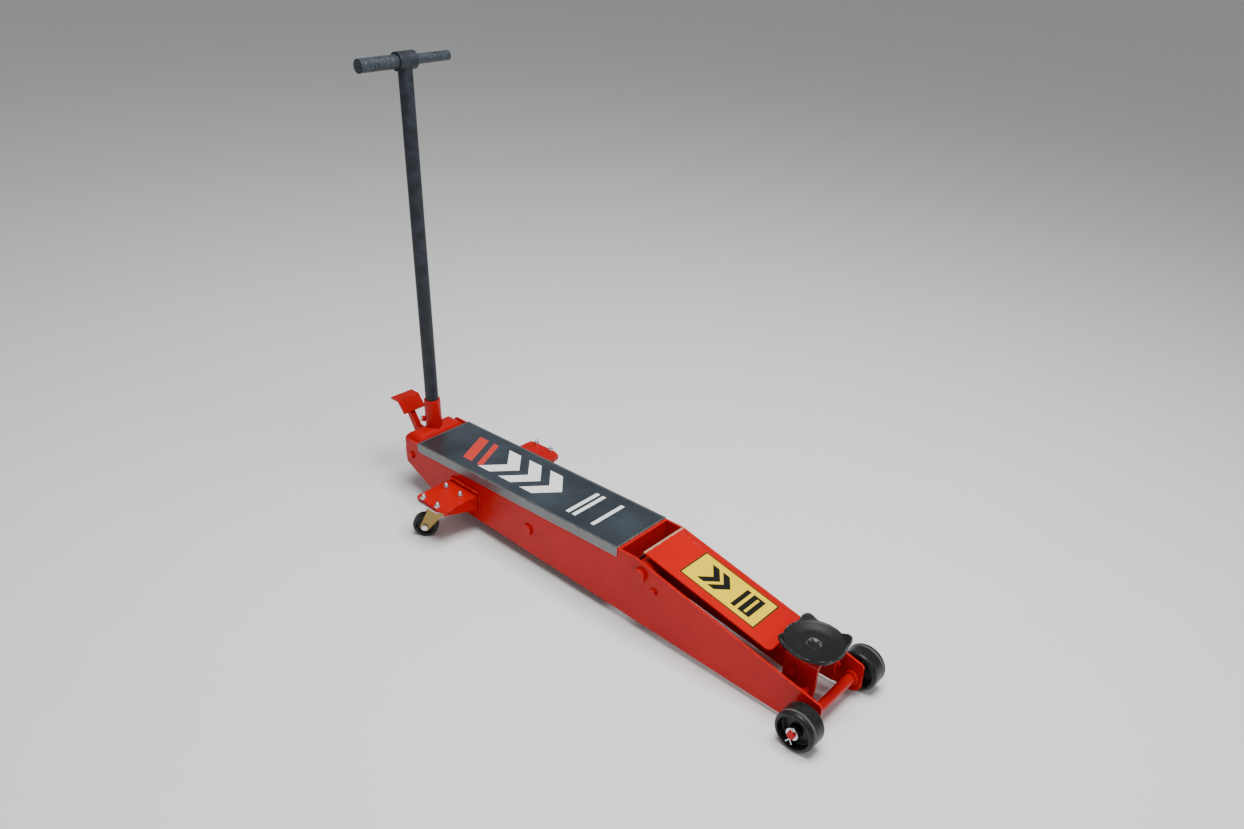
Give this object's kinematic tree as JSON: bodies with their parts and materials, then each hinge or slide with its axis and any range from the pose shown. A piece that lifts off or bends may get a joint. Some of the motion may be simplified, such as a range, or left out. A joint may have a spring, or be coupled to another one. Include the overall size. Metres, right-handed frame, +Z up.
{
  "type": "car jack",
  "caption": "Long-chassis hydraulic trolley jack with a pivoted lift arm, level saddle, upright pump handle, foot pedal, fixed front wheels and swivelling rear casters",
  "frame": {"origin": "centre of the bounding box's bottom face, on the floor the wheels stand on", "axes": "+X runs from the handle end to the saddle end, +Y is the left side, +Z is up"},
  "size_m": [1.45, 0.4352, 1.1346],
  "materials": {
    "red": "gloss red enamel",
    "arm_red": "gloss red enamel, worn at the rear edge",
    "cover_steel": "brushed, lacquered slate",
    "zinc": "bright zinc plate",
    "yellow_zinc": "yellow passivated zinc plate",
    "cast_black": "satin black",
    "saddle_black": "satin black, scuffed edges",
    "caster_black": "moulded black",
    "slate_paint": "semi-gloss slate",
    "bar_paint": "mottled slate",
    "machined": "ground"
  },
  "bodies": {
    "chassis": {"side_plate_left": "red", "side_plate_right": "red", "top_cover": "cover_steel", "cover_strip": "red", "front_axle": "red", "axle_sleeve": "red", "axle_washers": "zinc", "split_pins": "zinc", "rear_cross_plate": "red", "mid_cross_tube": "red", "caster_bracket_left": "red", "caster_bracket_right": "red", "caster_plates": "zinc", "caster_bolts": "zinc", "caster_nuts": "zinc", "main_pivot_pin": "red", "link_anchor_pins": "red", "cylinder_pins": "red", "yoke_pins": "red", "pump_block": "cast_black", "oil_tank": "red", "cylinder_barrel": "machined", "cylinder_gland": "machined", "filler_plug": "zinc", "unit_bolts": "zinc"},
    "arm": {"lift_arm": "red", "arm_cover": "arm_red", "ram_pin": "machined", "return_springs": "zinc"},
    "carrier": {"saddle_carrier": "red", "carrier_bolt": "red", "carrier_nut": "zinc", "link_pins": "red"},
    "level_links": {"level_link_left": "red", "level_link_right": "red"},
    "saddle_body": {"saddle": "saddle_black", "saddle_clip": "zinc"},
    "ram": {"ram_rod": "machined", "ram_head": "machined"},
    "yoke": {"handle_yoke": "red", "handle_socket": "red", "pedal_arm": "red", "pedal_pad": "red", "clamp_screw": "zinc", "pump_roller": "machined", "roller_pin": "zinc"},
    "plunger": {"pump_plunger": "machined", "plunger_spring": "zinc"},
    "handle": {"handle_tube": "slate_paint", "handle_head": "slate_paint", "cross_bar": "bar_paint"},
    "release": {"release_spindle": "zinc"},
    "wheel_left": {"front_wheel_left": "cast_black"},
    "wheel_right": {"front_wheel_right": "cast_black"},
    "fork_left": {"caster_fork_left": "yellow_zinc", "caster_axle_left": "zinc"},
    "fork_right": {"caster_fork_right": "yellow_zinc", "caster_axle_right": "zinc"},
    "caster_left": {"caster_wheel_left": "caster_black"},
    "caster_right": {"caster_wheel_right": "caster_black"}
  },
  "joints": [
    {"name": "arm_lift", "type": "hinge", "parent": "chassis", "child": "arm", "pos_m": [0.21135, 0, 0.15436], "axis": [0, -1, 0], "range_deg": [0, 63], "deforming": ["return_springs"]},
    {"name": "carrier_level", "type": "hinge", "parent": "arm", "child": "carrier", "pos_m": [0.59998, 0, 0.09593], "axis": [0, -1, 0], "range_deg": [-63, 0]},
    {"name": "link_swing", "type": "hinge", "parent": "chassis", "child": "level_links", "pos_m": [0.25144, 0, 0.12795], "axis": [0, -1, 0], "range_deg": [0, 63]},
    {"name": "saddle_turn", "type": "hinge", "parent": "carrier", "child": "saddle_body", "pos_m": [0.61648, 0, 0.14333], "axis": [0, 0, 1], "continuous": true},
    {"name": "ram_slide", "type": "slide", "parent": "chassis", "child": "ram", "axis": [0.9995, 0, -0.0321], "range_m": [0, 0.07857]},
    {"name": "yoke_pump", "type": "hinge", "parent": "chassis", "child": "yoke", "pos_m": [-0.58573, 0, 0.11534], "axis": [0, -1, 0], "range_deg": [0, 60]},
    {"name": "plunger_slide", "type": "slide", "parent": "chassis", "child": "plunger", "axis": [0.9995, 0, -0.0321], "range_m": [0, 0.03032], "deforming": ["plunger_spring"]},
    {"name": "handle_twist", "type": "hinge", "parent": "yoke", "child": "handle", "pos_m": [-0.59172, 0, 0.1151], "axis": [-0.0837, 0, 0.9965], "range_deg": [0, 90]},
    {"name": "release_turn", "type": "hinge", "parent": "chassis", "child": "release", "pos_m": [-0.52018, -0.03, 0.08622], "axis": [0.9995, 0, -0.0321], "range_deg": [0, 90]},
    {"name": "wheel_left_spin", "type": "hinge", "parent": "chassis", "child": "wheel_left", "pos_m": [0.67803, 0.126, 0.047], "axis": [0, 1, 0], "continuous": true},
    {"name": "wheel_right_spin", "type": "hinge", "parent": "chassis", "child": "wheel_right", "pos_m": [0.67803, -0.126, 0.047], "axis": [0, 1, 0], "continuous": true},
    {"name": "fork_left_swivel", "type": "hinge", "parent": "chassis", "child": "fork_left", "pos_m": [-0.37554, 0.163, 0.11477], "axis": [0, 0, 1], "continuous": true},
    {"name": "fork_right_swivel", "type": "hinge", "parent": "chassis", "child": "fork_right", "pos_m": [-0.37554, -0.163, 0.11477], "axis": [0, 0, 1], "continuous": true},
    {"name": "caster_left_spin", "type": "hinge", "parent": "fork_left", "child": "caster_left", "pos_m": [-0.40771, 0.19, 0.032], "axis": [-0.6428, -0.766, 0], "continuous": true},
    {"name": "caster_right_spin", "type": "hinge", "parent": "fork_right", "child": "caster_right", "pos_m": [-0.40771, -0.19, 0.032], "axis": [0.6428, -0.766, 0], "continuous": true}
  ],
  "couplings": [
    {"joint": "carrier_level", "follows": "arm_lift", "ratio": -1},
    {"joint": "link_swing", "follows": "arm_lift", "ratio": 1},
    {"joint": "ram_slide", "follows": "arm_lift", "m_per_rad": 0.071092},
    {"joint": "plunger_slide", "follows": "yoke_pump", "m_per_rad": 0.028573},
    {"joint": "release_turn", "follows": "handle_twist", "ratio": 1}
  ]
}
